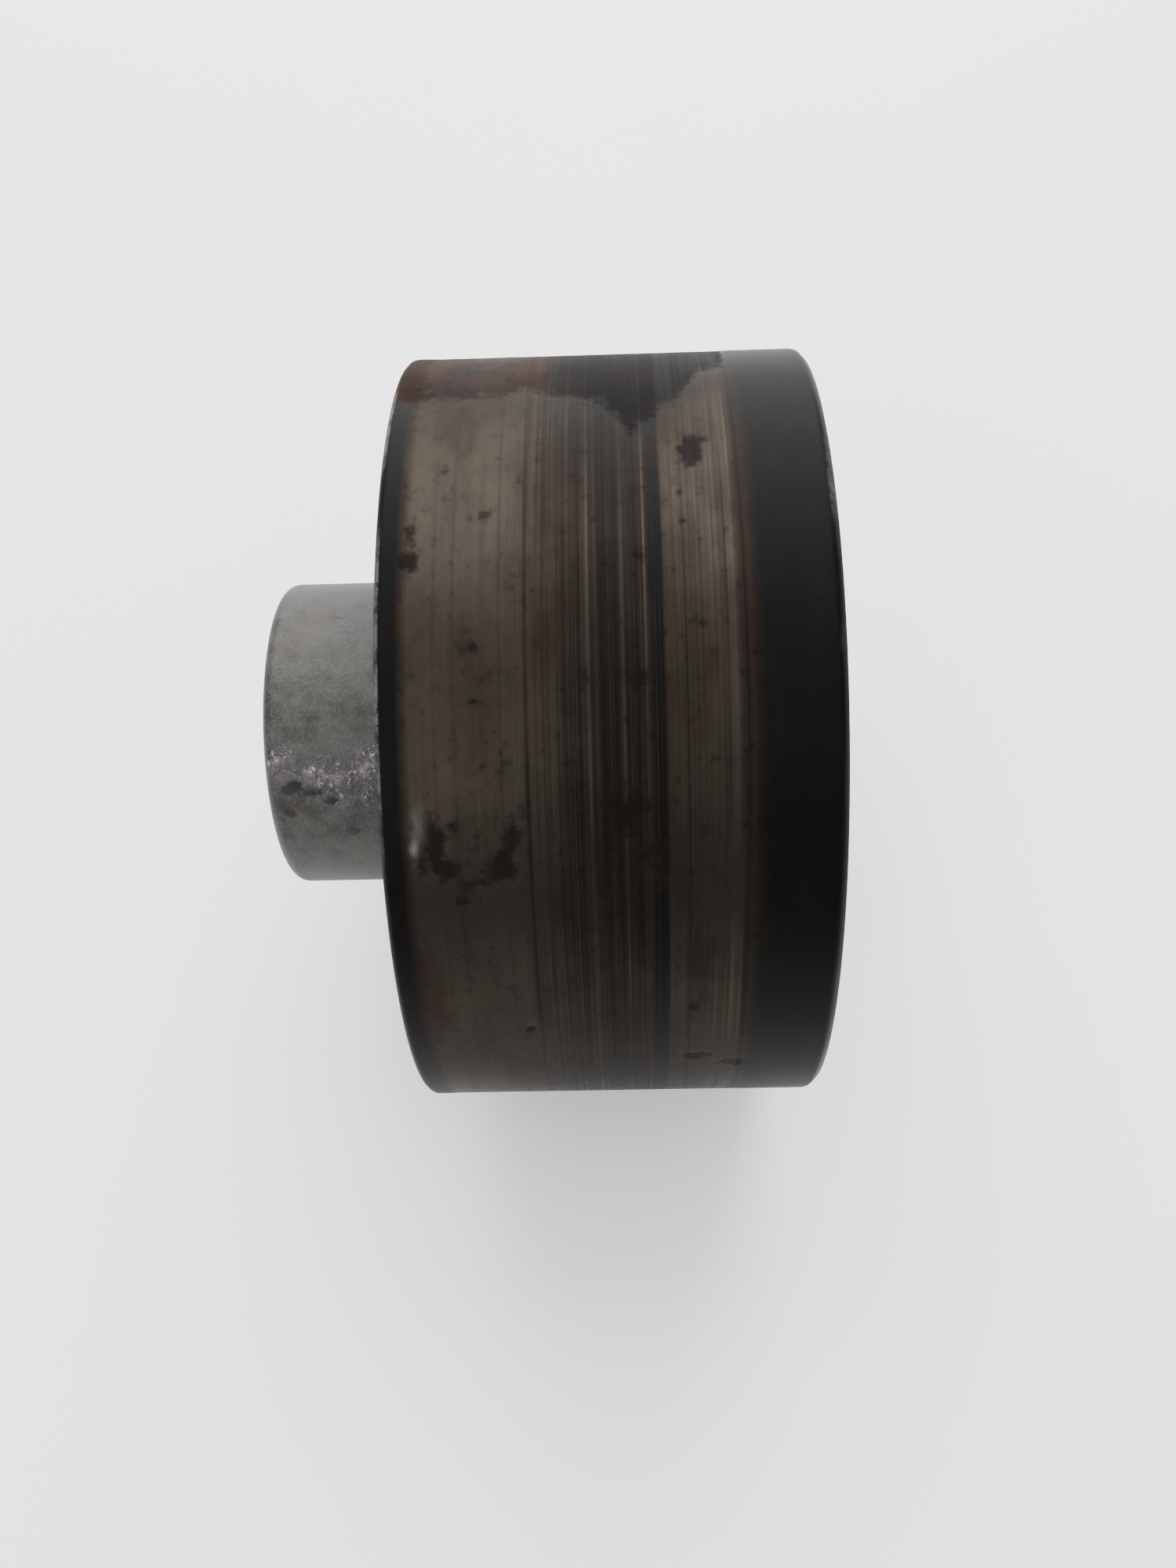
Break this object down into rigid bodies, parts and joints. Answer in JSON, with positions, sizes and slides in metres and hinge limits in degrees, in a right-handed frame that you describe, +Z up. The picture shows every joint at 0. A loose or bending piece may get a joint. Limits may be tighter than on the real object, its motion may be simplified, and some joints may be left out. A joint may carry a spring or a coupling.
{
  "type": "track roller",
  "caption": "Cantilever track roller: plain cylindrical steel tread turning on two ball bearings over a stub axle with a round spigot.",
  "frame": {"origin": "on the spin axis, in the plane of the frame seat, where the spigot enters the frame", "axes": "+Y along the spin axis towards the roller's outboard end, +Z up; the spigot points to -Y"},
  "size_m": [0.12, 0.0835, 0.12],
  "materials": {
    "tread_steel": "worn forged steel, polished where the track runs, dark oxide at both edges, patches of rust",
    "plated_steel": "dull zinc-coloured plating, grainy, chipped near the end",
    "machined_steel": "fine turned steel",
    "bearing_steel": "ground and polished",
    "cage_steel": "pressed sheet steel",
    "seal_iron": "cast hard iron with a lapped face",
    "nitrile_rubber": "matt black rubber",
    "cover_steel": "black oxide with light rust",
    "bolt_steel": "zinc plated, dulled",
    "spring_steel": "dark phosphated spring steel",
    "copper": "annealed copper"
  },
  "bodies": {
    "axle": {"axle_shaft": "plated_steel", "seal_collar": "machined_steel", "collar_o_ring": "nitrile_rubber", "fixed_seal_ring": "seal_iron", "fixed_seal_toric": "nitrile_rubber", "bearing_spacer": "machined_steel", "shaft_circlip": "spring_steel", "inboard_inner_ring": "bearing_steel", "outboard_inner_ring": "bearing_steel"},
    "roller": {"roller_shell": "tread_steel", "rotating_seal_ring": "seal_iron", "rotating_seal_toric": "nitrile_rubber", "inboard_outer_ring": "bearing_steel", "outboard_outer_ring": "bearing_steel", "end_cover": "cover_steel", "cover_o_ring": "nitrile_rubber", "cover_bolts": "bolt_steel", "cover_washers": "spring_steel", "oil_plug": "bolt_steel", "plug_washer": "copper"},
    "inboard_cage_set": {"inboard_balls": "bearing_steel", "inboard_cage_front": "cage_steel", "inboard_cage_back": "cage_steel", "inboard_cage_rivets": "cage_steel"},
    "outboard_cage_set": {"outboard_balls": "bearing_steel", "outboard_cage_front": "cage_steel", "outboard_cage_back": "cage_steel", "outboard_cage_rivets": "cage_steel"}
  },
  "joints": [
    {"name": "roller_spin", "type": "hinge", "parent": "axle", "child": "roller", "pos_m": [0, 0.0315, 0], "axis": [0, 1, 0], "continuous": true},
    {"name": "inboard_cage_spin", "type": "hinge", "parent": "axle", "child": "inboard_cage_set", "pos_m": [0, 0.025, 0], "axis": [0, 1, 0], "continuous": true},
    {"name": "outboard_cage_spin", "type": "hinge", "parent": "axle", "child": "outboard_cage_set", "pos_m": [0, 0.0425, 0], "axis": [0, 1, 0], "continuous": true}
  ],
  "couplings": [
    {"joint": "inboard_cage_spin", "follows": "roller_spin", "ratio": 0.5735},
    {"joint": "outboard_cage_spin", "follows": "roller_spin", "ratio": 0.5819}
  ]
}
